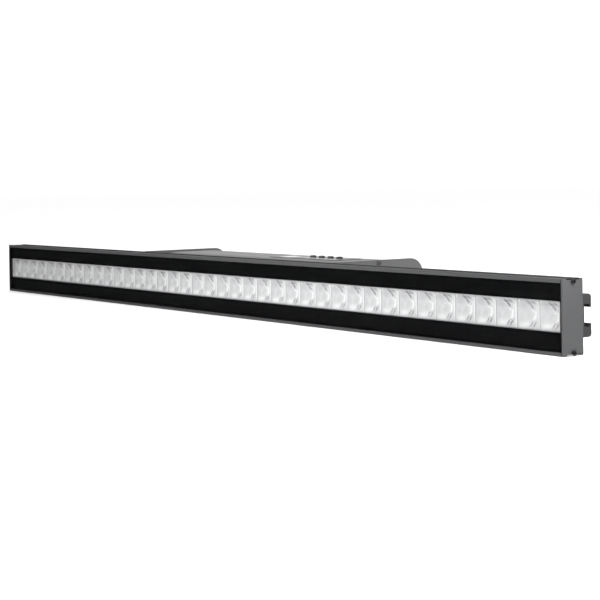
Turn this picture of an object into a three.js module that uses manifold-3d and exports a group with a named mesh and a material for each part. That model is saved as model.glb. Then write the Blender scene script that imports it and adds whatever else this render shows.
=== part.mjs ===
import * as THREE from 'three';
import { mergeVertices } from 'three/addons/utils/BufferGeometryUtils.js';
import Module from 'manifold-3d';

// Driving dimensions, in millimetres.
// x runs along the bar, y from the front lips to the back, z up from the underside.
const bar = { length: 1009, depth: 23, height: 61.6, lowLip: 2.75, topLip: 3.35, endPlate: 2 };
const endGasket = { thick: 0.5, inset: 0.15, play: 0.05 };
const groove = { front: 4.1, back: 20, depth: 1.2, closed: 0.3 };
const platform = { front: 13.8, bottom: 10, top: 51.6 };
const channelWall = { backFace: 19, ledgeFront: 2.9, ledgeBack: 4.3, ledge: 2.6 };
const screwPort = { y: 11.3, edge: 2.2, half: 2.9, drop: 5.7, hole: 1.3, deep: 14 };
const endScrew = { shank: 1.1, head: 2.1, reach: 10, proud: 2.15 };
const rail = { bottom: 13.3, top: 48.3, back: 35.5, web: 4, lip: 1.9, mouth: 13, slot: 18.6, corner: 3 };
const glass = { front: 0.4, back: 1.6, mask: 0.3, gasket: 0.8, rim: 2.4, clearance: 0.15 };
const lensRow = { count: 40, perArray: 8, pitch: 25, bottom: 18.5, front: 3.3, plate: 2.2, back: 11 };
const lensCone = { wide: 24, narrow: 9, overlap: 0.5 };
const ledBoard = { front: 12.1, back: 13.7, height: 24, led: 5, ledHeight: 0.7 };
const holder = { front: 3, back: 11.6, wall: 1.5, clearance: 0.2 };
const box = { half: 179.2, front: 38.1, back: 132, top: 60, bottom: 0.5, wall: 1.5, corner: 24 };
const sidePlate = { outer: 183, inner: 180, front: 23.3, back: 136, top: 62, corner: 16, gasket: 0.5 };
const sideScrew = { y: 77.5, z: 58.4, rearY: 129.2, rearZ: 30, lowZ: 3.2, port: 2.6, hole: 1.5 };
const sideScrewSize = { shank: 1.2, head: 2.3, reach: 10, proud: 1.8 };
const mountPlate = { front: 35.8, back: 37.8, bottom: 13.3, top: 48.3, half: 178.6 };
const overlay = { left: 15, right: 131, front: 63, back: 97, thick: 0.5, gap: 0.1 };
const display = { left: 26, right: 42, front: 68, back: 88 };
const button = { firstX: 71, pitch: 15.1, count: 4, y: 80, radius: 3.3, flange: 4.3, clearance: 0.3 };
const buttonHeight = { bottom: 54.8, flangeTop: 58.5, top: 63.1, round: 0.8 };
const socket = { powerY: 62, dataY: 100, z: 27, radius: 11.4, flange: 26, flangeHeight: 31, thick: 2.4 };
const socketBarrel = { depth: 26, floor: 6, powerMouth: 9.4, dataMouth: 8.4, clearance: 0.4 };
const railBolt = { x: 120, z: 30.8, shank: 3, head: 6, nut: 5.5, nutHeight: 4.7, reach: 7, play: 0.3 };
const harness = { radius: 3.2, hole: 4, front: 14.1, back: 46 };
const grommet = { lip: 6.5, neck: 4.9, hole: 5.2, bore: 3.5, overhang: 1.8, play: 0.3 };

const depth = sidePlate.back;
const boxInside = box.front + box.wall;
const middle = bar.height / 2;
const roundSteps = 20;

// The electronics in the box, as [x0, x1, y0, y1, z0, z1].
const supplyBlocks = [[-150, -12, 52, 118, 6, 40], [-150, -128, 52, 118, 39, 46]];
const controlBlocks = [
  [18, 148, 52, 118, 8, 9.6], [40, 62, 60, 82, 9, 13], [84, 100, 66, 78, 9, 20],
  [112, 130, 60, 76, 9, 18], [70, 78, 92, 104, 9, 16],
];
const switchCard = { right: 126, front: 66, back: 94, thick: 1.6, drop: 2.6, margin: 3, rise: 1.2 };

// Booleans: a three.js geometry becomes a manifold solid and comes back.
const wasm = await Module();
wasm.setup();

function solid(geometry) {
  const bare = (geometry.index ? geometry.toNonIndexed() : geometry.clone());
  bare.deleteAttribute('normal');
  bare.deleteAttribute('uv');
  const merged = mergeVertices(bare, 1e-4);
  return new wasm.Manifold(new wasm.Mesh({
    numProp: 3,
    vertProperties: new Float32Array(merged.attributes.position.array),
    triVerts: new Uint32Array(merged.index.array),
  }));
}

function geometryOf(manifold) {
  const mesh = manifold.getMesh();
  const geometry = new THREE.BufferGeometry();
  geometry.setAttribute('position', new THREE.BufferAttribute(mesh.vertProperties, 3));
  geometry.setIndex(new THREE.BufferAttribute(mesh.triVerts, 1));
  return geometry;
}

function joined(...parts) {
  return geometryOf(parts.map(solid).reduce((whole, next) => whole.add(next)));
}

function cut(body, ...tools) {
  return geometryOf(tools.map(solid).reduce((whole, tool) => whole.subtract(tool), solid(body)));
}

// Basic shapes, placed by their limits in the bar's own axes.
function block(x0, x1, y0, y1, z0, z1) {
  const geometry = new THREE.BoxGeometry(x1 - x0, y1 - y0, z1 - z0);
  return geometry.translate((x0 + x1) / 2, (y0 + y1) / 2, (z0 + z1) / 2);
}

function rod(axis, centre, start, end, radius, segments = 24, endRadius = radius) {
  const geometry = new THREE.CylinderGeometry(endRadius, radius, end - start, segments);
  geometry.translate(0, (start + end) / 2, 0);
  if (axis === 'x') {
    geometry.rotateZ(-Math.PI / 2);
    return geometry.translate(0, centre[0], centre[1]);
  }
  if (axis === 'y') {
    return geometry.translate(centre[0], 0, centre[1]);
  }
  geometry.rotateX(Math.PI / 2);
  return geometry.translate(centre[0], centre[1], 0);
}

const alongX = new THREE.Matrix4().makeBasis(
  new THREE.Vector3(0, 1, 0), new THREE.Vector3(0, 0, 1), new THREE.Vector3(1, 0, 0));

// A section drawn in y and z, drawn out along x.
function section(shape, x0, x1, curveSegments = 6) {
  const settings = { depth: x1 - x0, bevelEnabled: false, curveSegments };
  return new THREE.ExtrudeGeometry(shape, settings).applyMatrix4(alongX).translate(x0, 0, 0);
}

function outline(points) {
  return new THREE.Shape(points.map(([y, z]) => new THREE.Vector2(y, z)));
}

// A rectangle whose two rear corners are round, and its front ones too where frontRadius is given.
function roundedShape(y0, y1, z0, z1, radius, frontRadius = 0) {
  const shape = new THREE.Shape();
  shape.moveTo(y0 + frontRadius, z0);
  shape.lineTo(y1 - radius, z0);
  shape.absarc(y1 - radius, z0 + radius, radius, -Math.PI / 2, 0);
  shape.absarc(y1 - radius, z1 - radius, radius, 0, Math.PI / 2);
  shape.lineTo(y0 + frontRadius, z1);
  if (frontRadius > 0) {
    shape.absarc(y0 + frontRadius, z1 - frontRadius, frontRadius, Math.PI / 2, Math.PI);
    shape.absarc(y0 + frontRadius, z0 + frontRadius, frontRadius, Math.PI, 1.5 * Math.PI);
  }
  return shape;
}

// A pan-head screw along x: its shank starts at x = start and its head ends at x = end.
// The head stands 0.1 mm off the face that it holds.
function screwAlongX(start, end, y, z, { shank, head, proud }) {
  const length = Math.abs(end - start);
  const under = length - proud + 0.1;
  const profile = [
    [0, 0], [shank, 0], [shank, under], [head, under],
    [head, length - 0.4 * proud], [0.62 * head, length], [0, length],
  ].map(([r, h]) => new THREE.Vector2(r, h));
  const geometry = new THREE.LatheGeometry(profile, 16);
  geometry.rotateZ(end > start ? -Math.PI / 2 : Math.PI / 2);
  return geometry.translate(start, y, z);
}

// The aluminium channel: open at the front, with grooves, ledges and screw ports.
function channelShape() {
  const { depth: D, height: H, lowLip, topLip } = bar;
  const top = H - topLip;
  const port = screwPort;
  return outline([
    [0, 0], [groove.front, 0], [groove.front, groove.depth], [groove.back, groove.depth],
    [groove.back, 0], [D, 0], [D, H], [groove.back, H], [groove.back, H - groove.depth],
    [groove.front, H - groove.depth], [groove.front, H], [0, H], [0, top],
    [channelWall.ledgeFront, top], [channelWall.ledgeFront, top - channelWall.ledge],
    [channelWall.ledgeBack, top - channelWall.ledge], [channelWall.ledgeBack, top],
    [port.y - port.half, top], [port.y - port.half, H - port.drop],
    [port.y + port.half, H - port.drop], [port.y + port.half, top],
    [channelWall.backFace, top], [channelWall.backFace, platform.top],
    [platform.front, platform.top], [platform.front, platform.bottom],
    [channelWall.backFace, platform.bottom], [channelWall.backFace, lowLip],
    [port.y + port.half, lowLip], [port.y + port.half, port.drop],
    [port.y - port.half, port.drop], [port.y - port.half, lowLip],
    [channelWall.ledgeBack, lowLip], [channelWall.ledgeBack, lowLip + channelWall.ledge],
    [channelWall.ledgeFront, lowLip + channelWall.ledge], [channelWall.ledgeFront, lowLip],
    [0, lowLip],
  ]);
}

const channelEnd = bar.length / 2 - bar.endPlate - endGasket.thick - 2 * endGasket.play;

function housingChannel() {
  const { y, edge, hole, deep } = screwPort;
  const bores = [];
  for (const z of [edge, bar.height - edge]) {
    for (const side of [-1, 1]) {
      const limits = [side * (channelEnd - deep), side * (channelEnd + 1)].sort((a, b) => a - b);
      bores.push(rod('x', [y, z], limits[0], limits[1], hole, 12));
    }
  }
  const wireHole = rod('y', [0, middle], 13, bar.depth + 1, harness.hole, 20);
  return cut(section(channelShape(), -channelEnd, channelEnd), wireHole, ...bores);
}

// The rail behind the channel, a C-shaped section that T-bolts slide in.
function railShape() {
  const front = bar.depth + 0.2;
  const { bottom, top, back, web, lip, mouth, slot, corner } = rail;
  const centre = (bottom + top) / 2;
  const shape = new THREE.Shape();
  shape.moveTo(front, bottom);
  shape.lineTo(back - corner, bottom);
  shape.absarc(back - corner, bottom + corner, corner, -Math.PI / 2, 0);
  shape.lineTo(back, centre - mouth / 2);
  shape.lineTo(back - lip, centre - mouth / 2);
  shape.lineTo(back - lip, centre - slot / 2);
  shape.lineTo(front + web, centre - slot / 2);
  shape.lineTo(front + web, centre + slot / 2);
  shape.lineTo(back - lip, centre + slot / 2);
  shape.lineTo(back - lip, centre + mouth / 2);
  shape.lineTo(back, centre + mouth / 2);
  shape.absarc(back - corner, top - corner, corner, 0, Math.PI / 2);
  shape.lineTo(front, top);
  return shape;
}

function rearRail() {
  const wireHole = rod('y', [0, middle], bar.depth, bar.depth + rail.web + 2, harness.hole, 20);
  return cut(section(railShape(), -channelEnd, channelEnd), wireHole);
}

// End plates are notched where the grooves run out; their gaskets close the end of the top groove.
function endShape(inset, topNotch) {
  const { depth: D, height: H } = bar;
  return outline([
    [inset, inset], [groove.front, inset], [groove.front, groove.depth + inset],
    [groove.back, groove.depth + inset], [groove.back, inset], [D - inset, inset],
    [D - inset, H - inset], [groove.back, H - inset], [groove.back, H - topNotch],
    [groove.front, H - topNotch], [groove.front, H - inset], [inset, H - inset],
  ]);
}

function endSheet(side, inner, outer, inset, topNotch) {
  const limits = [side * inner, side * outer].sort((a, b) => a - b);
  const holes = [screwPort.edge, bar.height - screwPort.edge].map(
    (z) => rod('x', [screwPort.y, z], limits[0] - 1, limits[1] + 1, screwPort.hole, 12));
  return cut(section(endShape(inset, topNotch), limits[0], limits[1]), ...holes);
}

// The glass and what is behind it.
const innerEnd = channelEnd - 0.3;
const windowTop = lensRow.bottom + lensRow.pitch;
const paneLow = bar.lowLip + glass.clearance;
const paneHigh = bar.height - bar.topLip - glass.clearance;

function coverGlass() {
  return block(-innerEnd, innerEnd, glass.front, glass.back, paneLow, paneHigh);
}

function maskStrip(z0, z1) {
  const front = glass.back + 0.05;
  return block(-innerEnd, innerEnd, front, front + glass.mask, z0, z1);
}

function glassGasket() {
  const front = glass.back + glass.mask + 0.1;
  const { rim } = glass;
  const frame = block(-innerEnd, innerEnd, front, front + glass.gasket, paneLow, paneHigh);
  const opening = block(rim - innerEnd, innerEnd - rim, front - 1, front + 2,
    paneLow + rim, paneHigh - rim);
  return cut(frame, opening);
}

// Eight square lenses moulded as one strip: a front plate and a tapering body over each LED.
function lensArray(index) {
  const { perArray, pitch, bottom, front, plate, back } = lensRow;
  const width = perArray * pitch;
  const left = -lensRow.count * pitch / 2 + index * width;
  const top = bottom + pitch;
  const parts = [block(left + 0.1, left + width - 0.1, front, front + plate, bottom + 0.1, top - 0.1)];
  for (let i = 0; i < perArray; i += 1) {
    const coneFront = front + plate - lensCone.overlap;
    const cone = new THREE.CylinderGeometry(
      lensCone.narrow * Math.SQRT1_2, lensCone.wide * Math.SQRT1_2, back - coneFront, 4);
    cone.rotateY(Math.PI / 4);
    cone.translate(left + (i + 0.5) * pitch, (coneFront + back) / 2, bottom + pitch / 2);
    parts.push(cone);
  }
  return joined(...parts);
}

function ledBoardStrip(index) {
  const { perArray, pitch, bottom, count } = lensRow;
  const left = -count * pitch / 2 + index * perArray * pitch;
  const z = bottom + pitch / 2;
  const half = ledBoard.height / 2;
  const parts = [block(left + 0.3, left + perArray * pitch - 0.3, ledBoard.front, ledBoard.back,
    z - half, z + half)];
  for (let i = 0; i < perArray; i += 1) {
    const x = left + (i + 0.5) * pitch;
    const r = ledBoard.led / 2;
    parts.push(block(x - r, x + r, ledBoard.front - ledBoard.ledHeight, ledBoard.front + 0.3,
      z - r, z + r));
  }
  return joined(...parts);
}

function lensHolder() {
  const halfRow = lensRow.count * lensRow.pitch / 2 + holder.clearance;
  const low = lensRow.bottom - holder.clearance;
  const high = windowTop + holder.clearance;
  const frame = block(-innerEnd, innerEnd, holder.front, holder.back,
    low - holder.wall, high + holder.wall);
  return cut(frame, block(-halfRow, halfRow, holder.front - 1, holder.back + 1, low, high));
}

// The driver box behind the middle of the bar: a tube with round edges, inset by a given amount.
function boxShape(inset = 0) {
  const { front, back, top, bottom, corner } = box;
  const radius = corner - inset;
  return roundedShape(front + inset, back - inset, bottom + inset, top - inset, radius, radius);
}

function frontWallHoles() {
  const [y0, y1] = [mountPlate.front - 1, box.front + 2 * box.wall];
  const holes = [-railBolt.x, railBolt.x].map(
    (x) => rod('y', [x, railBolt.z], y0, y1, railBolt.shank + railBolt.play, 16));
  return [...holes, rod('y', [0, middle], y0, y1, grommet.hole, 20)];
}

const buttonPlaces = Array.from({ length: button.count }, (_, i) => button.firstX + i * button.pitch);

function buttonHoles(z0, z1, radius) {
  return buttonPlaces.map((x) => rod('z', [x, button.y], z0, z1, radius, 20));
}

function displayHole(z0, z1, margin) {
  const { left, right, front, back } = display;
  return block(left - margin, right + margin, front - margin, back + margin, z0, z1);
}

function driverBoxShell() {
  const { half, top, bottom, wall } = box;
  const r = sideScrew.port;
  const ports = [
    block(-half, half, sideScrew.y - r, sideScrew.y + r, sideScrew.z - r, top - wall / 2),
    block(-half, half, sideScrew.y - r, sideScrew.y + r, bottom + wall / 2, sideScrew.lowZ + r),
    block(-half, half, sideScrew.rearY - r, box.back - wall / 2, sideScrew.rearZ - r,
      sideScrew.rearZ + r),
  ];
  const skin = cut(section(boxShape(), -half, half, roundSteps),
    section(boxShape(wall), -half - 1, half + 1, roundSteps), ...frontWallHoles());
  // The upper port stops short of the display and the buttons, which drop through the lid.
  const relief = block(overlay.left - 4, overlay.right + 4, sideScrew.y - 2 * r, sideScrew.y + 2 * r,
    sideScrew.z - 2 * r, top - wall);
  const bores = [];
  for (const [y, z] of sideScrewPlaces()) {
    bores.push(rod('x', [y, z], half - screwPort.deep, half + 1, sideScrew.hole, 12));
    bores.push(rod('x', [y, z], -half - 1, screwPort.deep - half, sideScrew.hole, 12));
  }
  return cut(joined(skin, ...ports), relief, ...bores,
    ...buttonHoles(top - 2 * wall, top + 1, button.radius + button.clearance),
    displayHole(top - 2 * wall, top + 1, -2));
}

function sideScrewPlaces() {
  return [
    [sideScrew.y, sideScrew.z], [sideScrew.rearY, sideScrew.rearZ], [sideScrew.y, sideScrew.lowZ],
  ];
}

// The sheet that closes one end of the box, cleared for the rail and the sockets.
function sideSheet(side, inner, outer, shape) {
  const limits = [side * inner, side * outer].sort((a, b) => a - b);
  const [x0, x1] = [limits[0] - 1, limits[1] + 1];
  const slack = 0.8;
  const tools = [block(x0, x1, sidePlate.front - 2, mountPlate.front, rail.bottom - slack, rail.top + slack)];
  for (const y of [socket.powerY, socket.dataY]) {
    tools.push(rod('x', [y, socket.z], x0, x1, socket.radius + socketBarrel.clearance, 24));
  }
  for (const [y, z] of sideScrewPlaces()) {
    tools.push(rod('x', [y, z], x0, x1, sideScrew.hole, 12));
  }
  return cut(section(shape, limits[0], limits[1], roundSteps), ...tools);
}

function sidePlateShape() {
  return roundedShape(sidePlate.front, sidePlate.back, 0, sidePlate.top, sidePlate.corner);
}

function driverMountPlate() {
  const { front, back, bottom, top, half } = mountPlate;
  return cut(block(-half, half, front, back, bottom, top), ...frontWallHoles());
}

// A T-bolt with its nut: the head lies in the rail, the shank passes the mount plate and the box's
// front wall, and the nut is inside the box.
function railTBolt(x) {
  const { z, shank, head, nut, nutHeight, reach, play } = railBolt;
  const slotFront = bar.depth + 0.2 + rail.web;
  const headBlock = block(x - head, x + head, slotFront + 0.6, rail.back - rail.lip - 0.4,
    z - rail.slot / 2 + 1, z + rail.slot / 2 - 1);
  return joined(headBlock,
    rod('y', [x, z], slotFront + 2, boxInside + reach, shank, 16),
    rod('y', [x, z], boxInside + play, boxInside + play + nutHeight, nut, 6));
}

function wireGrommet() {
  const { lip, neck, bore, overhang, play } = grommet;
  const { front } = mountPlate;
  const back = boxInside;
  const profile = [
    [bore, front - overhang], [lip, front - overhang], [lip, front - play], [neck, front - play],
    [neck, back + play], [lip, back + play], [lip, back + overhang], [bore, back + overhang],
    [bore, front - overhang],
  ].map(([r, y]) => new THREE.Vector2(r, y));
  return new THREE.LatheGeometry(profile, 20).translate(0, 0, middle);
}

// Sockets: a square flange on the plate, a round barrel through it and a blind mouth.
function panelSocket(side, y, mouthRadius) {
  const { z, radius, flange, flangeHeight, thick } = socket;
  const barrelEnd = sidePlate.outer - socketBarrel.depth;
  const face = sidePlate.outer + 0.3;
  const limits = (a, b) => [side * a, side * b].sort((p, q) => p - q);
  const [f0, f1] = limits(face, face + thick);
  const [b0, b1] = limits(barrelEnd, face + thick / 2);
  const [m0, m1] = limits(barrelEnd + socketBarrel.floor, face + thick + 1);
  const body = joined(
    block(f0, f1, y - flange / 2, y + flange / 2, z - flangeHeight / 2, z + flangeHeight / 2),
    rod('x', [y, z], b0, b1, radius, 24));
  return cut(body, rod('x', [y, z], m0, m1, mouthRadius, 24));
}

// Electronics inside the box.
function blocks(list) {
  return joined(...list.map((limits) => block(...limits)));
}

// The card under the lid carries a key switch below each button and the display module.
function switchBoard() {
  const { right, front, back, thick, drop, margin, rise } = switchCard;
  const top = buttonHeight.bottom - drop;
  const parts = [block(display.left - margin, right, front, back, top - thick, top)];
  for (const x of buttonPlaces) {
    parts.push(block(x - margin, x + margin, button.y - margin, button.y + margin,
      top - thick / 2, top + rise));
  }
  parts.push(block(display.left + margin, display.right - margin, display.front + margin,
    display.back - margin, top - thick / 2, box.top - box.wall - 0.5));
  return joined(...parts);
}

function controlOverlay() {
  const { left, right, front, back, thick, gap } = overlay;
  const z0 = box.top + gap;
  const sheet = block(left, right, front, back, z0, z0 + thick);
  return cut(sheet, ...buttonHoles(z0 - 1, z0 + 2, button.radius + button.clearance),
    displayHole(z0 - 1, z0 + 2, 0.2));
}

function displayWindow() {
  const z0 = box.top + overlay.gap;
  return displayHole(z0, z0 + overlay.thick, 0);
}

function pushButton(x) {
  const { radius, flange, y } = button;
  const { bottom, flangeTop, top, round } = buttonHeight;
  const profile = [
    [0, bottom], [flange, bottom], [flange, flangeTop], [radius, flangeTop],
    [radius, top - round], [radius - round, top], [0, top],
  ].map(([r, h]) => new THREE.Vector2(r, h));
  return new THREE.LatheGeometry(profile, 20).rotateX(Math.PI / 2).translate(x, y, 0);
}

// The assembly.
const finishes = {
  coated: [0x4a4b4d, 0.55, 0.6],
  lightCoated: [0x8e9092, 0.5, 0.6],
  blackPrint: [0x0b0b0c, 0.35, 0],
  glass: [0xdfe6e8, 0.05, 0],
  lens: [0xe9ecee, 0.1, 0],
  reflector: [0xd8d8d6, 0.4, 0.1],
  board: [0x2c5a3a, 0.6, 0],
  rubber: [0x1a1a1b, 0.85, 0],
  blackSteel: [0x161617, 0.45, 0.8],
  steel: [0x9a9b9d, 0.4, 0.9],
  plastic: [0x202022, 0.5, 0],
};

const assembly = new THREE.Group();
assembly.position.set(0, -depth / 2, 0);

function place(name, geometry, finish) {
  const [color, roughness, metalness] = finishes[finish];
  const mesh = new THREE.Mesh(geometry, new THREE.MeshStandardMaterial({ color, roughness, metalness }));
  mesh.name = name;
  assembly.add(mesh);
}

place('housing_channel', housingChannel(), 'coated');
place('rear_rail', rearRail(), 'coated');
place('cover_glass', coverGlass(), 'glass');
place('upper_mask', maskStrip(windowTop, paneHigh), 'blackPrint');
place('lower_mask', maskStrip(paneLow, lensRow.bottom), 'blackPrint');
place('glass_gasket', glassGasket(), 'rubber');
place('lens_holder', lensHolder(), 'reflector');
for (let i = 0; i < lensRow.count / lensRow.perArray; i += 1) {
  place(`lens_array_${i + 1}`, lensArray(i), 'lens');
  place(`led_board_${i + 1}`, ledBoardStrip(i), 'board');
}

place('driver_box_shell', driverBoxShell(), 'lightCoated');
place('driver_mount_plate', driverMountPlate(), 'steel');
place('wire_grommet', wireGrommet(), 'rubber');
place('led_harness', rod('y', [0, middle], harness.front, harness.back, harness.radius, 12), 'rubber');
place('power_supply', blocks(supplyBlocks), 'steel');
place('control_board', blocks(controlBlocks), 'board');
place('switch_board', switchBoard(), 'board');
place('control_overlay', controlOverlay(), 'plastic');
place('display_window', displayWindow(), 'glass');

for (const [word, side] of [['left', -1], ['right', 1]]) {
  const plateInner = bar.length / 2 - bar.endPlate;
  place(`end_plate_${word}`, endSheet(side, plateInner, bar.length / 2, 0, groove.depth), 'coated');
  place(`end_gasket_${word}`,
    endSheet(side, channelEnd + endGasket.play, plateInner - endGasket.play, endGasket.inset,
      groove.closed), 'rubber');
  for (const [level, z] of [['top', bar.height - screwPort.edge], ['bottom', screwPort.edge]]) {
    const start = side * (channelEnd - endScrew.reach);
    const end = side * (bar.length / 2 + endScrew.proud);
    place(`end_screw_${word}_${level}`,
      screwAlongX(start, end, screwPort.y, z, endScrew), 'blackSteel');
  }
  place(`side_plate_${word}`,
    sideSheet(side, sidePlate.inner, sidePlate.outer, sidePlateShape()), 'coated');
  place(`side_gasket_${word}`,
    sideSheet(side, box.half + 0.1, box.half + 0.1 + sidePlate.gasket, boxShape()), 'rubber');
  sideScrewPlaces().forEach(([y, z], i) => {
    const start = side * (box.half - sideScrewSize.reach);
    const end = side * (sidePlate.outer + sideScrewSize.proud);
    place(`side_screw_${word}_${i + 1}`, screwAlongX(start, end, y, z, sideScrewSize), 'blackSteel');
  });
  place(`rail_bolt_${word}`, railTBolt(side * railBolt.x), 'steel');
  place(side > 0 ? 'power_in_socket' : 'power_out_socket',
    panelSocket(side, socket.powerY, socketBarrel.powerMouth), 'plastic');
  place(side > 0 ? 'data_in_socket' : 'data_out_socket',
    panelSocket(side, socket.dataY, socketBarrel.dataMouth), 'plastic');
}

['menu', 'up', 'down', 'enter'].forEach((word, i) => {
  place(`${word}_button`, pushButton(buttonPlaces[i]), 'rubber');
});

export default assembly;
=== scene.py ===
import math
import bpy
import bmesh
from mathutils import Matrix, Vector


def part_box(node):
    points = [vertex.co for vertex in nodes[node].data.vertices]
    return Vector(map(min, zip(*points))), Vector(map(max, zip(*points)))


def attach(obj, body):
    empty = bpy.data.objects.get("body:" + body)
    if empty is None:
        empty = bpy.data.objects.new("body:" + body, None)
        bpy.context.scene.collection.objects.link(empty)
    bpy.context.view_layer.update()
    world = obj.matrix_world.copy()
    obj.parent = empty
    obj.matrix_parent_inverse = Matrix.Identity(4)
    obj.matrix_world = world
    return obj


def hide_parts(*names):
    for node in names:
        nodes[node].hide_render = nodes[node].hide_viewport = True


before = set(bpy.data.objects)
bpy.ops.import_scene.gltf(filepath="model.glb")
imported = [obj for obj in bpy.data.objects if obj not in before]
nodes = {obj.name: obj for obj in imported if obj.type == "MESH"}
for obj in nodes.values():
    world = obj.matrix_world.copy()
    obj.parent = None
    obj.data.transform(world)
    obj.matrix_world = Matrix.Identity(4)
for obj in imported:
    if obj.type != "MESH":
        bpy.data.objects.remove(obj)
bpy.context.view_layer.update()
mm = 0.001
scene = bpy.context.scene
scene.view_settings.view_transform = "Standard"
print("frame loaded:", len(nodes), "parts")


# A material with its plain values set on the shader itself.
def newMaterial(name, look):
    mat = bpy.data.materials.new(name)
    mat.use_nodes = True
    shader = mat.node_tree.nodes["Principled BSDF"]
    shader.inputs["Base Color"].default_value = (*look["color"], 1)
    shader.inputs["Roughness"].default_value = look.get("roughness", 0.5)
    shader.inputs["Metallic"].default_value = look.get("metallic", 0.0)
    shader.inputs["Specular IOR Level"].default_value = look.get("specular", 0.5)
    shader.inputs["Coat Weight"].default_value = look.get("coat", 0.0)
    shader.inputs["Coat Roughness"].default_value = look.get("coatRoughness", 0.1)
    return mat, mat.node_tree, shader


def addNode(tree, kind, **values):
    node = tree.nodes.new(kind)
    for key, value in values.items():
        if hasattr(node, key):
            setattr(node, key, value)
        else:
            node.inputs[key.replace("_", " ")].default_value = value
    return node


def link(tree, fromNode, toNode, output=0, into=0):
    tree.links.new(fromNode.outputs[output], toNode.inputs[into])
    return toNode


def objectPlace(tree, scale=(1, 1, 1)):
    coords = addNode(tree, "ShaderNodeTexCoord")
    mapping = addNode(tree, "ShaderNodeMapping")
    mapping.inputs["Scale"].default_value = scale
    return link(tree, coords, mapping, "Object")


def noise(tree, place, scale, detail=3, roughness=0.5):
    node = addNode(tree, "ShaderNodeTexNoise", Scale=scale, Detail=detail, Roughness=roughness)
    return link(tree, place, node, 0, "Vector")


def remap(tree, source, low, high, output=0, fromLow=0.0, fromHigh=1.0):
    node = addNode(tree, "ShaderNodeMapRange")
    node.inputs["From Min"].default_value = fromLow
    node.inputs["From Max"].default_value = fromHigh
    node.inputs["To Min"].default_value = low
    node.inputs["To Max"].default_value = high
    return link(tree, source, node, output, "Value")


def tintBetween(tree, factor, first, second):
    ramp = addNode(tree, "ShaderNodeValToRGB")
    ramp.color_ramp.elements[0].color = (*first, 1)
    ramp.color_ramp.elements[1].color = (*second, 1)
    return link(tree, factor, ramp)


def bumpFrom(tree, source, shader, strength, distance):
    bump = addNode(tree, "ShaderNodeBump", Strength=strength, Distance=distance)
    link(tree, source, bump, 0, "Height")
    link(tree, bump, shader, 0, "Normal")


def scaled(color, amount):
    return tuple(c * amount for c in color)


coatSet = {"metallic": 0.1, "specular": 0.22, "cloud": 18, "speck": 2600, "speckDepth": 0.18,
           "tint": 0.12, "glossier": 0.06, "duller": 0.08, "lines": 9, "lineStretch": (0.6, 260, 260),
           "lineShare": 0.6, "bumpHeight": 0.0001}


# Powder coat: fine orange peel, slow colour drift and slightly uneven gloss.
def coatMaterial(name, color, roughness=0.5, grain=1400, drawn=False, peelDepth=0.16):
    s = coatSet
    mat, tree, shader = newMaterial(name, {"color": color, "roughness": roughness,
                                           "metallic": s["metallic"], "specular": s["specular"]})
    place = objectPlace(tree)
    cloud = noise(tree, place, s["cloud"], 4, 0.6)
    speck = noise(tree, place, s["speck"], 2, 0.7)
    mixed = addNode(tree, "ShaderNodeMath", operation="ADD")
    link(tree, remap(tree, cloud, 0.2, 0.8), mixed)
    link(tree, remap(tree, speck, -s["speckDepth"], s["speckDepth"]), mixed, 0, 1)
    tint = tintBetween(tree, mixed, scaled(color, 1 - s["tint"]), scaled(color, 1 + s["tint"]))
    link(tree, tint, shader, 0, "Base Color")
    link(tree, remap(tree, cloud, roughness - s["glossier"], roughness + s["duller"]), shader, 0,
         "Roughness")
    height = peel = noise(tree, place, grain, 3, 0.55)
    if drawn:  # faint lines along the extrusion
        lines = noise(tree, objectPlace(tree, s["lineStretch"]), s["lines"], 4, 0.7)
        height = addNode(tree, "ShaderNodeMath", operation="ADD")
        link(tree, remap(tree, peel, 0, s["lineShare"]), height)
        link(tree, remap(tree, lines, 0, s["lineShare"]), height, 0, 1)
    bumpFrom(tree, height, shader, peelDepth, s["bumpHeight"])
    return mat


rubberSet = {"grain": 1800, "cloud": 60, "darker": 0.8, "lighter": 1.25, "gloss": 0.08, "bump": 0.2,
             "bumpHeight": 0.00008}


def rubberMaterial(name, color, roughness=0.75, specular=0.35):
    s = rubberSet
    mat, tree, shader = newMaterial(name, {"color": color, "roughness": roughness,
                                           "specular": specular})
    place = objectPlace(tree)
    grain = noise(tree, place, s["grain"], 3, 0.6)
    link(tree, tintBetween(tree, grain, scaled(color, s["darker"]), scaled(color, s["lighter"])), shader,
         0, "Base Color")
    link(tree, remap(tree, noise(tree, place, s["cloud"]), roughness - s["gloss"],
                     roughness + s["gloss"]), shader, 0, "Roughness")
    bumpFrom(tree, grain, shader, s["bump"], s["bumpHeight"])
    return mat


metalSet = {"lines": 120, "darker": 0.82, "lighter": 1.1, "glossier": 0.1, "duller": 0.12, "bump": 0.08,
            "bumpHeight": 0.00005}


def metalMaterial(name, color, roughness=0.35, brushed=(1, 40, 1), metallic=1.0):
    s = metalSet
    mat, tree, shader = newMaterial(name, {"color": color, "roughness": roughness, "metallic": metallic})
    lines = noise(tree, objectPlace(tree, brushed), s["lines"], 4, 0.65)
    link(tree, tintBetween(tree, lines, scaled(color, s["darker"]), scaled(color, s["lighter"])), shader,
         0, "Base Color")
    link(tree, remap(tree, lines, roughness - s["glossier"], roughness + s["duller"]), shader, 0,
         "Roughness")
    bumpFrom(tree, lines, shader, s["bump"], s["bumpHeight"])
    return mat


plasticSet = {"cloud": 25, "tint": 0.1, "gloss": 0.05, "bumpHeight": 0.00006}


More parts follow.
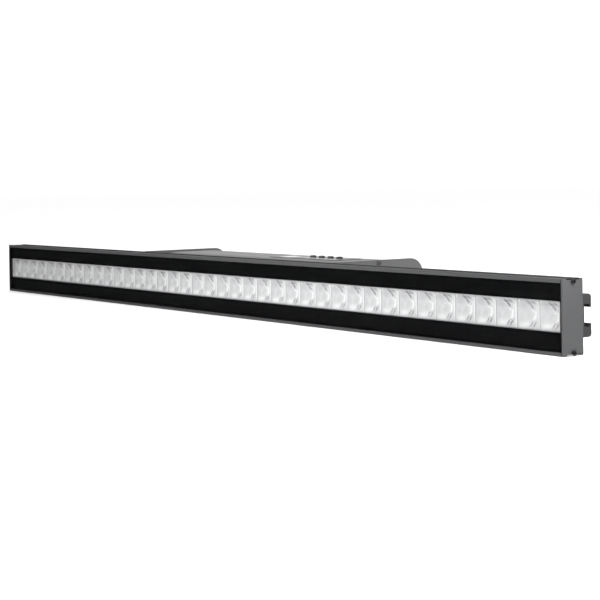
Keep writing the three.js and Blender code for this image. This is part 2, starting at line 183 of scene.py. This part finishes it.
def plasticMaterial(name, color, roughness=0.4, grain=2200, depth=0.12, coat=0.0):
    s = plasticSet
    mat, tree, shader = newMaterial(name, {"color": color, "roughness": roughness, "coat": coat})
    place = objectPlace(tree)
    texture = noise(tree, place, grain, 3, 0.6)
    cloud = noise(tree, place, s["cloud"], 3, 0.5)
    link(tree, tintBetween(tree, cloud, scaled(color, 1 - s["tint"]), scaled(color, 1 + s["tint"])),
         shader, 0, "Base Color")
    link(tree, remap(tree, cloud, roughness - s["gloss"], roughness + s["gloss"]), shader, 0,
         "Roughness")
    bumpFrom(tree, texture, shader, depth, s["bumpHeight"])
    return mat


bandSet = {"color": (0.0018, 0.0018, 0.002), "darker": (0.0014, 0.0014, 0.0016),
           "lighter": (0.0022, 0.0022, 0.0024), "grain": 900, "roughness": (0.55, 0.68)}


# Matt black print behind the glass.
def bandMaterial():
    s = bandSet
    mat, tree, shader = newMaterial("blackPrintedBand", {"color": s["color"], "roughness": 0.6,
                                                         "specular": 0.0})
    grain = noise(tree, objectPlace(tree), s["grain"], 3, 0.6)
    link(tree, tintBetween(tree, grain, s["darker"], s["lighter"]), shader, 0, "Base Color")
    link(tree, remap(tree, grain, *s["roughness"]), shader, 0, "Roughness")
    return mat


glassSet = {"color": (0.02, 0.022, 0.024), "smear": 12, "roughness": (0.03, 0.09)}


# Coated cover glass: nearly all light passes and a faint part is reflected.
def glassMaterial(name, reflection):
    s = glassSet
    mat = bpy.data.materials.new(name)
    mat.use_nodes = True
    tree = mat.node_tree
    tree.nodes.clear()
    out = addNode(tree, "ShaderNodeOutputMaterial")
    clear = addNode(tree, "ShaderNodeBsdfTransparent")
    gloss = addNode(tree, "ShaderNodeBsdfPrincipled")
    gloss.inputs["Base Color"].default_value = (*s["color"], 1)
    smear = noise(tree, objectPlace(tree), s["smear"], 3, 0.6)
    link(tree, remap(tree, smear, *s["roughness"]), gloss, 0, "Roughness")
    mix = addNode(tree, "ShaderNodeMixShader")
    mix.inputs["Fac"].default_value = reflection
    link(tree, clear, mix, 0, 1)
    link(tree, gloss, mix, 0, 2)
    link(tree, mix, out, 0, "Surface")
    return mat


def mathNode(tree, operation, first, second=None):
    node = addNode(tree, "ShaderNodeMath", operation=operation)
    for slot, source in enumerate((first, second)):
        if source is None:
            continue
        if isinstance(source, (int, float)):
            node.inputs[slot].default_value = source
        else:
            link(tree, source, node, 0, slot)
    return node


# exp(-x * x) of a value: 1 at zero and soft all round.
def softSpot(tree, value):
    return mathNode(tree, "POWER", math.exp(-1), mathNode(tree, "MULTIPLY", value, value))


# Lengths in metres. The marks are placed in cell widths from the middle of a lens.
lensLook = {
    "pitch": 0.025, "rowStart": -0.5, "rowMiddle": 0.0311,
    "roughness": 0.16, "glossier": 0.1, "duller": 0.12, "specular": 0.3, "coat": 0.25,
    "coatRoughness": 0.08, "bump": 0.2, "bumpHeight": 0.0004,
    "flow": 210, "cloud": 330, "cloudRange": (0.75, 1.25), "shift": 0.03, "darkRange": (0.75, 1.1),
    "jointWidth": 0.014, "jointDepth": 0.45,
    # clear is the lens tone, shade is the colour of the painted shade and of the joints, bright is the
    # colour of the painted highlights
    "clear": (0.412, 0.416, 0.419), "shade": (0.06, 0.062, 0.064), "bright": (0.72, 0.725, 0.73),
    # across, up, turn in degrees, half length, half width, strength
    # painted shade: dark strokes and a greyer patch where the facets turn away from the light
    "paintedShadeMarks": [
        (0.03, 0.375, -24, 0.15, 0.044, 0.86), (0.14, 0.29, -38, 0.11, 0.042, 0.84),
        (0.21, 0.39, -16, 0.13, 0.032, 0.62), (0.20, 0.23, -60, 0.04, 0.046, 0.84),
        (0.14, -0.32, 50, 0.12, 0.031, 0.76), (0.27, -0.33, 48, 0.12, 0.033, 0.80),
        (0.19, -0.41, 12, 0.06, 0.020, 0.50), (0.29, -0.24, 10, 0.06, 0.020, 0.50),
        (-0.20, 0.26, -8, 0.26, 0.15, 0.24), (-0.30, -0.08, 80, 0.22, 0.09, 0.14),
        (0.02, -0.02, 60, 0.14, 0.06, 0.12), (-0.10, 0.06, -4, 0.24, 0.012, 0.18),
        (0.34, 0.16, -62, 0.07, 0.012, 0.45), (-0.40, 0.05, 90, 0.34, 0.020, 0.16)],
    # painted highlights: bright slivers and strokes where the facets catch the light
    "paintedHighlightMarks": [
        (0.455, 0.0, 90, 0.50, 0.022, 0.55), (0.33, 0.02, 78, 0.20, 0.045, 0.50),
        (0.30, -0.12, 40, 0.09, 0.022, 0.75), (0.24, 0.10, -30, 0.10, 0.018, 0.60),
        (-0.44, 0.42, 60, 0.05, 0.025, 0.80), (-0.15, -0.36, 6, 0.30, 0.10, 0.42),
        (0.38, 0.38, -40, 0.08, 0.022, 0.60), (0.20, -0.33, 51, 0.07, 0.010, 0.60),
        (0.09, 0.345, -27, 0.10, 0.010, 0.55), (-0.02, 0.47, 0, 0.40, 0.018, 0.35)]}


# The strength of a soft oblong mark placed in the lens cell.
def lensMark(tree, cellPlace, mark):
    across, up, turn, length, width, depth = mark
    mapping = addNode(tree, "ShaderNodeMapping", vector_type="TEXTURE")
    mapping.inputs["Location"].default_value = (across, up, 0)
    mapping.inputs["Rotation"].default_value = (0, 0, math.radians(turn))
    mapping.inputs["Scale"].default_value = (length, width, 1)
    link(tree, cellPlace, mapping)
    reach = addNode(tree, "ShaderNodeVectorMath", operation="LENGTH")
    link(tree, mapping, reach)
    distance = addNode(tree, "ShaderNodeMath", operation="ABSOLUTE")  # takes the length as a number
    link(tree, reach, distance, "Value")
    return mathNode(tree, "MULTIPLY", softSpot(tree, distance), depth)


def strongestMark(tree, cellPlace, marks):
    strongest = None
    for mark in marks:
        part = lensMark(tree, cellPlace, mark)
        strongest = part if strongest is None else mathNode(tree, "MAXIMUM", strongest, part)
    return strongest


def mixColor(tree, factor, below, above):
    mix = addNode(tree, "ShaderNodeMixRGB")
    link(tree, factor, mix)
    for into, source in (("Color1", below), ("Color2", above)):
        if isinstance(source, tuple):
            mix.inputs[into].default_value = (*source, 1)
        else:
            link(tree, source, mix, 0, into)
    return mix


# Moulded lens: clear plastic over a bright reflector, with painted shade and painted highlights standing
# for the dark and bright turns of its facets.
def lensMaterial():
    look = lensLook
    mat, tree, shader = newMaterial("mouldedLens", {
        "color": look["clear"], "roughness": look["roughness"], "specular": look["specular"],
        "coat": look["coat"], "coatRoughness": look["coatRoughness"]})
    coords = addNode(tree, "ShaderNodeTexCoord")
    split = addNode(tree, "ShaderNodeSeparateXYZ")
    link(tree, coords, split, "Object")
    cell = mathNode(tree, "DIVIDE", mathNode(tree, "ADD", split, -look["rowStart"]), look["pitch"])
    number = mathNode(tree, "FLOOR", cell)
    across = mathNode(tree, "SUBTRACT", mathNode(tree, "FRACT", cell), 0.5)
    rise = addNode(tree, "ShaderNodeMath", operation="SUBTRACT")
    link(tree, split, rise, "Z")
    rise.inputs[1].default_value = look["rowMiddle"]
    up = mathNode(tree, "DIVIDE", rise, look["pitch"])
    chance = addNode(tree, "ShaderNodeTexWhiteNoise", noise_dimensions="1D")  # one value for each lens
    link(tree, number, chance, 0, "W")
    flow = noise(tree, objectPlace(tree), look["flow"], 3, 0.6)
    shift = look["shift"]
    sideways = mathNode(tree, "ADD", across, remap(tree, flow, -shift, shift))
    upward = mathNode(tree, "ADD", up, remap(tree, flow, shift, -shift))
    cellPlace = addNode(tree, "ShaderNodeCombineXYZ")
    link(tree, mathNode(tree, "ADD", sideways, remap(tree, chance, -shift, shift)), cellPlace)
    link(tree, upward, cellPlace, 0, 1)
    cloud = remap(tree, noise(tree, objectPlace(tree), look["cloud"], 4, 0.7), *look["cloudRange"])
    # painted shade of the facets, laid into the base colour
    dark = mathNode(tree, "MULTIPLY", strongestMark(tree, cellPlace, look["paintedShadeMarks"]), cloud)
    dark = mathNode(tree, "MULTIPLY", dark, remap(tree, chance, *look["darkRange"]))
    # painted highlights of the facets, laid into the base colour
    bright = mathNode(tree, "MULTIPLY", strongestMark(tree, cellPlace, look["paintedHighlightMarks"]), cloud)
    # the joint between two lenses reads as a thin dark line
    toJoint = mathNode(tree, "SUBTRACT", mathNode(tree, "ABSOLUTE", across), 0.5)
    nearJoint = softSpot(tree, mathNode(tree, "DIVIDE", toJoint, look["jointWidth"]))
    joint = mathNode(tree, "MULTIPLY", nearJoint, look["jointDepth"])
    # the painted highlights go in first, then the painted shade together with the dark joints
    tone = mixColor(tree, bright, look["clear"], look["bright"])
    tone = mixColor(tree, mathNode(tree, "MAXIMUM", dark, joint), tone, look["shade"])
    link(tree, tone, shader, 0, "Base Color")
    link(tree, remap(tree, flow, look["roughness"] - look["glossier"],
                     look["roughness"] + look["duller"]), shader, 0, "Roughness")
    bumpFrom(tree, flow, shader, look["bump"], look["bumpHeight"])
    return mat


barCoat = coatMaterial("darkGreyCoat", (0.060, 0.0605, 0.062), 0.5, 1400)
drawnCoat = coatMaterial("darkGreyExtrusionCoat", (0.050, 0.0505, 0.052), 0.58, 1400, drawn=True)
railCoat = coatMaterial("darkGreyRailCoat", (0.030, 0.0304, 0.0313), 0.6, 1400, drawn=True, peelDepth=0.1)
plateCoat = coatMaterial("greyPlateCoat", (0.148, 0.1485, 0.15), 0.48, 1300)
boxCoat = coatMaterial("satinGreyCoat", (0.12, 0.12, 0.122), 0.38, 1100)
sealRubber = rubberMaterial("sealRubber", (0.016, 0.016, 0.017))
# The end seal is black rubber, set darker and duller than the other seals as painted shade for the top
# groove notch where it shows.
endSealWithPaintedShade = rubberMaterial("blackEndSealPaintedShade", (0.004, 0.004, 0.0042), 0.8, 0.1)
buttonRubber = rubberMaterial("buttonRubber", (0.05, 0.05, 0.054), 0.55)
blackSteel = metalMaterial("blackScrewSteel", (0.009, 0.009, 0.010), 0.34, (1, 1, 1), 0.6)
darkNickel = metalMaterial("darkNickel", (0.10, 0.10, 0.098), 0.3, (1, 1, 1), 0.9)
zincSteel = metalMaterial("zincPlate", (0.58, 0.58, 0.57), 0.36)
boardMask = plasticMaterial("whiteBoardMask", (0.72, 0.73, 0.71), 0.45)
controlMask = plasticMaterial("greenBoardMask", (0.03, 0.16, 0.07), 0.4)
socketPlastic = plasticMaterial("mouldedBlackPlastic", (0.018, 0.018, 0.02), 0.5)
reflectorPlastic = plasticMaterial("brightReflector", (0.66, 0.66, 0.655), 0.35, 900, 0.08, 0.2)
filmPlastic = plasticMaterial("panelFilm", (0.10, 0.10, 0.102), 0.35, 1600, 0.05, 0.0)
windowPlastic = plasticMaterial("displayPane", (0.012, 0.014, 0.018), 0.08, 700, 0.02, 1.0)
bandPrint = bandMaterial()
coverClear = glassMaterial("coverGlassCoated", 0.018)
lensClear = lensMaterial()
contactMetal = metalMaterial("contactMetal", (0.75, 0.62, 0.32), 0.3, (1, 1, 1))
# pale print for the rings and marks, also used for the painted highlight stripe in front of the buttons
palePrintAndHighlight = plasticMaterial("palePanelPrintAndPaintedHighlight", (0.62, 0.62, 0.62), 0.4, 1600, 0.04)
print("materials ready")


# Makes the object, shades it, and gives it its body, its slot and the CAD parts that it stands for.
def finishPiece(bm, name, material, body="root", covers=(), smooth=35, weighted=True):
    mesh = bpy.data.meshes.new(name)
    bm.to_mesh(mesh)
    bm.free()
    for face in mesh.polygons:
        face.use_smooth = True
    mesh.set_sharp_from_angle(angle=math.radians(smooth))
    piece = bpy.data.objects.new(name, mesh)
    scene.collection.objects.link(piece)
    mesh.materials.append(material)
    if weighted:
        piece.modifiers.new("evenNormals", "WEIGHTED_NORMAL").keep_sharp = True
    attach(piece, body)
    if covers:
        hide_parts(*covers)
    return piece


meshSet = {"merge": 0.002 * mm, "spinMerge": 0.001 * mm, "flatAngle": 0.6}


# A merged copy of a CAD part with its sharp edges rounded, as tooling leaves them.
def softenedPart(node, name, material, radius, segments=2, sharp=50):
    bm = bmesh.new()
    bm.from_mesh(nodes[node].data)
    bmesh.ops.remove_doubles(bm, verts=bm.verts, dist=meshSet["merge"])
    bmesh.ops.dissolve_limit(bm, angle_limit=math.radians(meshSet["flatAngle"]), verts=bm.verts,
                             edges=bm.edges)
    edges = [e for e in bm.edges if e.is_manifold and e.calc_face_angle(0) > math.radians(sharp)]
    bmesh.ops.bevel(bm, geom=edges, offset=radius, offset_type="OFFSET", segments=segments,
                    profile=0.5, affect="EDGES", clamp_overlap=True, material=-1)
    return finishPiece(bm, name, material, "root", (node,))


def moveShape(bm, matrix):
    bmesh.ops.transform(bm, matrix=matrix, verts=bm.verts)


# A matrix whose local +Z points along the given direction, placed at a point.
def pointing(direction, place):
    turn = Vector(direction).to_track_quat("Z", "Y").to_matrix().to_4x4()
    return Matrix.Translation(place) @ turn


# Spins a half profile of (radius, height) pairs round the local Z axis.
def spunShape(bm, profile, steps):
    verts = [bm.verts.new((r, 0, h)) for r, h in profile]
    edges = [bm.edges.new(pair) for pair in zip(verts, verts[1:])]
    bmesh.ops.spin(bm, geom=verts + edges, cent=(0, 0, 0), axis=(0, 0, 1), dvec=(0, 0, 0),
                   angle=math.tau, steps=steps, use_merge=True, use_duplicate=False)
    bmesh.ops.remove_doubles(bm, verts=bm.verts, dist=meshSet["spinMerge"])
    bmesh.ops.recalc_face_normals(bm, faces=bm.faces)


# Spins a profile once and adds a copy of it at each of the given matrices.
def stampSpun(bm, profile, steps, matrices):
    pattern = bmesh.new()
    spunShape(pattern, profile, steps)
    mesh = bpy.data.meshes.new("pattern")
    pattern.to_mesh(mesh)
    pattern.free()
    for matrix in matrices:
        start = len(bm.verts)
        bm.from_mesh(mesh)
        bm.verts.ensure_lookup_table()
        bmesh.ops.transform(bm, matrix=matrix, verts=bm.verts[start:])
    bpy.data.meshes.remove(mesh)


cameraSet = {"place": (1.3058, -0.9177, 0.1421), "heading": 36.498, "roll": -0.805, "lens": 87.26,
             "shift": -0.1983}


def addCamera():
    s = cameraSet
    turn = math.radians(s["heading"])
    forward = Vector((-math.cos(turn), math.sin(turn), 0))
    side = forward.cross(Vector((0, 0, 1)))
    roll = math.radians(s["roll"])
    right = side * math.cos(roll) + Vector((0, 0, 1)) * math.sin(roll)
    up = right.cross(forward)
    data = bpy.data.cameras.new("studioCamera")
    data.lens, data.shift_y, data.clip_end = s["lens"], s["shift"], 50
    cam = bpy.data.objects.new("studioCamera", data)
    scene.collection.objects.link(cam)
    cam.matrix_world = Matrix((right, up, -forward)).transposed().to_4x4()
    cam.location = s["place"]
    scene.camera = cam


lightSet = {
    "worldBack": 1.05, "worldFront": 0.11, "frontEdge": -0.35, "backEdge": 0.3, "floorGlow": 0.42,
    "floorColor": (0.93, 0.93, 0.93), "floorDrop": 0.5 * mm, "floorHalf": 15,
    "areas": [  # name, place, aim, size across, size up, watts
        ("keyRight", (2.6, -0.35, 0.8), (0.5, -0.02, 0.03), 1.0, 0.8, 6),
        ("capSide", (0.575, -0.085, 0.14), (0.507, -0.056, 0.05), 0.05, 0.05, 0.29),
        ("frontPool", (0.17, -0.56, 0.30), (0.14, -0.06, 0.03), 0.36, 0.22, 3.6),
        ("overhead", (0.2, 0.1, 2.4), (0.1, 0.05, 0), 3.0, 2.0, 24),
    ],
}


# The studio is brighter behind the object than in front of it.
def addWorld():
    world = bpy.data.worlds.new("paleStudio")
    scene.world = world
    world.use_nodes = True
    tree = world.node_tree
    coords = addNode(tree, "ShaderNodeTexCoord")
    split = addNode(tree, "ShaderNodeSeparateXYZ")
    link(tree, coords, split, "Generated")
    strength = remap(tree, split, lightSet["worldFront"], lightSet["worldBack"], "Y",
                     lightSet["frontEdge"], lightSet["backEdge"])
    link(tree, strength, tree.nodes["Background"], 0, "Strength")
    tree.nodes["Background"].inputs["Color"].default_value = (1, 1, 1, 1)


def addLights():
    addWorld()
    for name, place, aim, across, upward, watts in lightSet["areas"]:
        data = bpy.data.lights.new(name, "AREA")
        data.shape, data.size, data.size_y, data.energy = "RECTANGLE", across, upward, watts
        lamp = bpy.data.objects.new(name, data)
        scene.collection.objects.link(lamp)
        lamp.location = place
        lamp.visible_camera = False
        lamp.rotation_euler = (Vector(aim) - Vector(place)).to_track_quat("-Z", "Y").to_euler()


def addFloor():
    bm = bmesh.new()
    bmesh.ops.create_grid(bm, x_segments=1, y_segments=1, size=lightSet["floorHalf"])
    mesh = bpy.data.meshes.new("floor")
    bm.to_mesh(mesh)
    bm.free()
    floor = bpy.data.objects.new("floor", mesh)
    scene.collection.objects.link(floor)
    mat, tree, shader = newMaterial("paleFloor", {"color": lightSet["floorColor"], "roughness": 0.9,
                                                  "specular": 0.1})
    shader.inputs["Emission Color"].default_value = (1, 1, 1, 1)
    shader.inputs["Emission Strength"].default_value = lightSet["floorGlow"]
    mesh.materials.append(mat)
    mesh.transform(Matrix.Translation((0, 0, -lightSet["floorDrop"])))


addCamera()
addLights()
addFloor()
print("camera, light and floor ready")

# Edge radii of the housing parts, the small light parts and the panel parts.
housingSet = {"edge": 0.35 * mm, "plateEdge": 0.3 * mm, "boxEdge": 0.4 * mm, "holderEdge": 0.2 * mm,
              "panelEdge": 0.12 * mm}

softenedPart("housing_channel", "housingExtrusion", drawnCoat, housingSet["edge"])
softenedPart("rear_rail", "railExtrusion", railCoat, housingSet["edge"])
for side in ("left", "right"):
    softenedPart("end_plate_" + side, "endPlate_" + side, barCoat,
                 housingSet["plateEdge"])
    softenedPart("side_plate_" + side, "sidePlate_" + side, plateCoat,
                 housingSet["plateEdge"])
softenedPart("driver_box_shell", "driverBoxShell", boxCoat, housingSet["boxEdge"])
softenedPart("lens_holder", "lensHolder", reflectorPlastic, housingSet["holderEdge"])
softenedPart("control_overlay", "panelFilm", filmPlastic, housingSet["panelEdge"])
softenedPart("display_window", "displayPane", windowPlastic,
             housingSet["panelEdge"])
print("housing and driver box ready")

cellSet = {"gap": 0.22 * mm, "parts": 12, "dome": 1.1 * mm, "dish": 0.7 * mm, "dishRadius": 4.6 * mm,
           "shoulder": 0.3 * mm, "thick": 2.6 * mm, "flatten": 0.45, "taper": 0.985, "margin": 0.1 * mm,
           "strips": 5, "cells": 8}


# One square lens cell: a pillow with a shallow dish in the middle and a stepped edge.
def buildLensCell(pitch):
    s = cellSet
    half = pitch / 2 - s["gap"] / 2
    bm = bmesh.new()
    bmesh.ops.create_grid(bm, x_segments=s["parts"], y_segments=s["parts"], size=half,
                          matrix=Matrix.Rotation(math.radians(90), 4, "X"))
    for vert in bm.verts:
        across, upward = vert.co.x / half, vert.co.z / half
        pillow = (1 - abs(across) ** 4) * (1 - s["flatten"] * abs(upward) ** 4)
        middle = max(0.0, 1 - (vert.co.xz.length / s["dishRadius"]) ** 2)
        vert.co.y = s["dome"] * (1 - pillow) + s["dish"] * middle ** 2
    for shrink, back in ((1.0, s["dome"] + s["shoulder"]), (s["taper"], s["thick"])):
        rim = [e for e in bm.edges if e.is_boundary]
        grown = bmesh.ops.extrude_edge_only(bm, edges=rim)["geom"]
        for vert in (g for g in grown if isinstance(g, bmesh.types.BMVert)):
            vert.co = (vert.co.x * shrink, back, vert.co.z * shrink)
    bmesh.ops.contextual_create(bm, geom=[e for e in bm.edges if e.is_boundary])
    bmesh.ops.recalc_face_normals(bm, faces=bm.faces)
    mesh = bpy.data.meshes.new("lensCell")
    bm.to_mesh(mesh)
    bm.free()
    return mesh


def addLensRow():
    s = cellSet
    low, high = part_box("lens_array_1")
    pitch = lensLook["pitch"]
    pattern = buildLensCell(pitch)
    for strip in range(1, s["strips"] + 1):
        node = "lens_array_%d" % strip
        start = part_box(node)[0].x - s["margin"]
        bm = bmesh.new()
        for cell in range(s["cells"]):
            first = len(bm.verts)
            bm.from_mesh(pattern)
            bm.verts.ensure_lookup_table()
            spot = Vector((start + (cell + 0.5) * pitch, low.y, (low.z + high.z) / 2))
            bmesh.ops.translate(bm, vec=spot, verts=bm.verts[first:])
        finishPiece(bm, "lensStrip_%d" % strip, lensClear, "root", (node,), 40, False)


addLensRow()
print("lens row ready")

# The crown gives shares of the head's radius and of its height below the top.
screwSet = {"head": 1.7 * mm, "shank": 0.5, "recess": 0.46, "recessDeep": 1.1 * mm, "recessTip": 0.2,
            "crown": ((0.96, 1), (1, 0.93), (1, 0.36), (0.95, 0.17), (0.84, 0.04), (0.7, 0), (0.5, 0),
                      (0.46, 0.1)), "steps": 24}


# A pan head with a recess and a plain shank behind it.
def panScrew(node, name, direction, finish):
    s = screwSet
    low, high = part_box(node)
    centre = (low + high) / 2
    radius, length, head = (high.z - low.z) / 2, high.x - low.x, s["head"]
    floor = length - s["recessDeep"]
    profile = [(0, 0), (s["shank"] * radius, 0), (s["shank"] * radius, length - head)]
    profile += [(share * radius, length - depth * head) for share, depth in s["crown"]]
    profile += [(s["recess"] * radius, floor), (0, floor - s["recessTip"] * head)]
    bm = bmesh.new()
    spunShape(bm, profile, s["steps"])
    tip = low.x if direction > 0 else high.x
    moveShape(bm, pointing((direction, 0, 0), (tip, centre.y, centre.z)))
    finishPiece(bm, name, finish, "root", (node,), 40)


for side, direction in (("left", -1), ("right", 1)):
    for level in ("top", "bottom"):
        panScrew("end_screw_%s_%s" % (side, level), "endScrew_%s_%s" % (side, level), direction,
                 blackSteel)
    for number in (1, 2, 3):
        panScrew("side_screw_%s_%d" % (side, number), "sideScrew_%s_%d" % (side, number), direction,
                 darkNickel)


# The crown gives how far in and how far down each ring lies, in millimetres.
buttonSet = {"words": ("menu", "up", "down", "enter"), "capShare": 3.3 / 4.3, "flange": 3.7 * mm,
             "crown": ((0, 0.9), (0.12, 0.5), (0.4, 0.18), (0.8, 0), (1.3, 0.05), (1.9, 0.3)),
             "dish": 0.42 * mm, "steps": 32}


# A round rubber cap with a soft rim and a shallow dish, on its flange under the lid.
def pushButton(word):
    s = buttonSet
    low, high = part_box(word + "_button")
    centre = (low + high) / 2
    flange, height = (high.x - low.x) / 2, high.z - low.z
    cap = flange * s["capShare"]
    profile = [(0, 0), (flange, 0), (flange, s["flange"]), (cap, s["flange"])]
    profile += [(cap - inward * mm, height - down * mm) for inward, down in s["crown"]]
    profile += [(0, height - s["dish"])]
    bm = bmesh.new()
    spunShape(bm, profile, s["steps"])
    moveShape(bm, Matrix.Translation((centre.x, centre.y, low.z)))
    finishPiece(bm, word + "Button", buttonRubber, word + "_button_body",
                (word + "_button",), 40)


for word in buttonSet["words"]:
    pushButton(word)
print("screws and buttons ready")

# The marks give a number of sides and a turn in degrees, one for each button.
printAndHighlightSet = {"rise": 0.05 * mm, "stripeFront": 1.2 * mm, "stripeBack": 4.6 * mm, "overhang": 6 * mm,
            "ring": 0.35 * mm, "ringGap": 1.1 * mm, "ringSteps": 40, "mark": 1.5 * mm,
            "markBack": 9.5 * mm, "marks": ((4, 45), (3, 90), (3, -90), (24, 0))}


def flatBlock(bm, low, high):
    verts = bmesh.ops.create_cube(bm, size=1)["verts"]
    bmesh.ops.scale(bm, vec=Vector(high) - Vector(low), verts=verts)
    bmesh.ops.translate(bm, vec=(Vector(high) + Vector(low)) / 2, verts=verts)


# A flat many-sided block, turned in its own plane.
def flatMark(bm, place, radius, sides, turn, depth):
    bmesh.ops.create_cone(bm, cap_ends=True, segments=sides, radius1=radius, radius2=radius, depth=depth,
                          matrix=Matrix.Translation(place) @ Matrix.Rotation(math.radians(turn), 4, "Z"))


# A pale stripe in front of the buttons, which is a painted highlight of the glossy film, a ring round
# each and one plain mark behind each.
def addPanelPrintsAndPaintedHighlight():
    s = printAndHighlightSet
    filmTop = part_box("control_overlay")[1].z
    boxes = [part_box(word + "_button") for word in buttonSet["words"]]
    places = [(low + high) / 2 for low, high in boxes]
    radius = (boxes[0][1].x - boxes[0][0].x) / 2
    first, last, top = places[0], places[-1], filmTop + s["rise"]
    bm = bmesh.new()
    # painted highlight: the pale stripe stands for the film's glossy reflection in front of the buttons
    flatBlock(bm, (first.x - s["overhang"], first.y - radius - s["stripeBack"], filmTop),
              (last.x + s["overhang"], first.y - radius - s["stripeFront"], top))
    inner = radius + s["ringGap"]
    outer = inner + s["ring"]
    profile = [(inner, 0), (outer, 0), (outer, s["rise"]), (inner, s["rise"]), (inner, 0)]
    stampSpun(bm, profile, s["ringSteps"], [Matrix.Translation((place.x, place.y, filmTop))
                                            for place in places])
    for place, (sides, turn) in zip(places, s["marks"]):
        flatMark(bm, (place.x, place.y + s["markBack"], filmTop + s["rise"] / 2), s["mark"], sides, turn,
                 s["rise"])
    finishPiece(bm, "panelPrintsAndPaintedHighlight", palePrintAndHighlight, "root", (), 40, False)


addPanelPrintsAndPaintedHighlight()
print("panel prints ready")

# The head gives shares of the screw's radius and height.
socketSet = {
    "edge": 0.5 * mm, "wall": 6 * mm, "mouth": {"power": 9.4 * mm, "data": 8.4 * mm},
    "contacts": {"power": 3, "data": 5}, "steps": 40,
    "collar": 1.2 * mm, "collarGap": 0.1 * mm, "collarOut": 0.9 * mm, "collarIn": 0.4 * mm,
    "collarRound": 0.2 * mm,
    "key": 1.6 * mm, "keyIn": 1.1 * mm, "keyOut": 0.3 * mm, "keyReach": 0.6,
    "insulator": 6.4 * mm, "insulatorTall": 7 * mm, "insulatorSides": 32,
    "pinCircle": 4.3 * mm, "pinRadius": 0.85 * mm, "pinFoot": 1 * mm, "pinShoulder": 3.2 * mm,
    "pinTaper": 3.9 * mm, "pinTop": 4.1 * mm, "pinTip": 0.6, "pinSteps": 16,
    "screwIn": 3.3 * mm, "screwRadius": 1.7 * mm, "screwHead": 0.8 * mm, "screwSink": 0.3 * mm,
    "head": ((1, 0.3), (0.85, 0.8), (0.6, 1), (0.42, 1), (0.42, 0.2), (0, 0.1)), "screwSteps": 20}


# The raised collar round the mouth, the key inside it and the insulator at the bottom.
def socketCollar(node, outward, mouth, deep):
    s = socketSet
    inner, outer, bend = mouth + s["collarGap"], mouth + s["collar"], s["collarRound"]
    under, top = -s["collarIn"], s["collarOut"]
    bm = bmesh.new()
    spunShape(bm, [(inner, under), (outer, under), (outer, top - bend), (outer - bend, top),
                   (inner + bend, top), (inner, top - bend), (inner, under)], s["steps"])
    flatBlock(bm, (-s["key"] / 2, mouth - s["keyIn"], -deep * s["keyReach"]),
              (s["key"] / 2, mouth + s["keyOut"], s["keyOut"]))
    flatMark(bm, (0, 0, s["insulatorTall"] / 2 - deep), s["insulator"], s["insulatorSides"], 0,
             s["insulatorTall"])
    moveShape(bm, outward)
    finishPiece(bm, node + "Collar", socketPlastic, "root", (), 40)


# A ring of round contacts standing on the insulator.
def socketContacts(node, outward, count, foot):
    s = socketSet
    radius, places = s["pinRadius"], []
    for number in range(count):
        angle = math.tau * (number + 0.5) / count
        places.append(Matrix.Translation((s["pinCircle"] * math.cos(angle),
                                          s["pinCircle"] * math.sin(angle), foot)))
    profile = [(0, -s["pinFoot"]), (radius, -s["pinFoot"]), (radius, s["pinShoulder"]),
               (radius * s["pinTip"], s["pinTaper"]), (0, s["pinTop"])]
    bm = bmesh.new()
    stampSpun(bm, profile, s["pinSteps"], places)
    moveShape(bm, outward)
    finishPiece(bm, node + "Contacts", contactMetal, "root", (), 40)


# Four small screws in the corners of the flange.
def socketScrews(node, direction, face):
    s = socketSet
    low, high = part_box(node)
    centre, half = (low + high) / 2, (high - low) / 2
    radius, height = s["screwRadius"], s["screwHead"]
    profile = [(0, -s["screwSink"]), (radius, -s["screwSink"])]
    profile += [(share * radius, rise * height) for share, rise in s["head"]]
    places = [pointing((direction, 0, 0), (face, centre.y + across * (half.y - s["screwIn"]),
                                           centre.z + upward * (half.z - s["screwIn"])))
              for across in (-1, 1) for upward in (-1, 1)]
    bm = bmesh.new()
    stampSpun(bm, profile, s["screwSteps"], places)
    finishPiece(bm, node + "Screws", blackSteel, "root", (), 40)


def panelConnector(kind, way, direction):
    s = socketSet
    node = "%s_%s_socket" % (kind, way)
    low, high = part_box(node)
    face = high.x if direction > 0 else low.x
    deep = high.x - low.x - s["wall"]
    outward = pointing((direction, 0, 0), (face, (low.y + high.y) / 2, (low.z + high.z) / 2))
    softenedPart(node, node + "Body", socketPlastic, s["edge"])
    socketCollar(node, outward, s["mouth"][kind], deep)
    socketContacts(node, outward, s["contacts"][kind], s["insulatorTall"] - deep)
    socketScrews(node, direction, face)


for way, direction in (("in", 1), ("out", -1)):
    for kind in ("power", "data"):
        panelConnector(kind, way, direction)
print("sockets ready")

# CAD parts that keep their shape and only take a finish.
kept = {
    "cover_glass": coverClear, "upper_mask": bandPrint, "lower_mask": bandPrint,
    "glass_gasket": sealRubber, "wire_grommet": sealRubber, "led_harness": sealRubber,
    "driver_mount_plate": plateCoat, "power_supply": zincSteel, "control_board": controlMask,
    "switch_board": controlMask, "rail_bolt_left": zincSteel, "rail_bolt_right": zincSteel,
    "end_gasket_left": endSealWithPaintedShade, "end_gasket_right": endSealWithPaintedShade, "side_gasket_left": sealRubber,
    "side_gasket_right": sealRubber,
}
for number in range(1, 6):
    kept["led_board_%d" % number] = boardMask
for node, material in kept.items():
    nodes[node].data.materials.clear()
    nodes[node].data.materials.append(material)
print("finishes set on", len(kept), "parts")
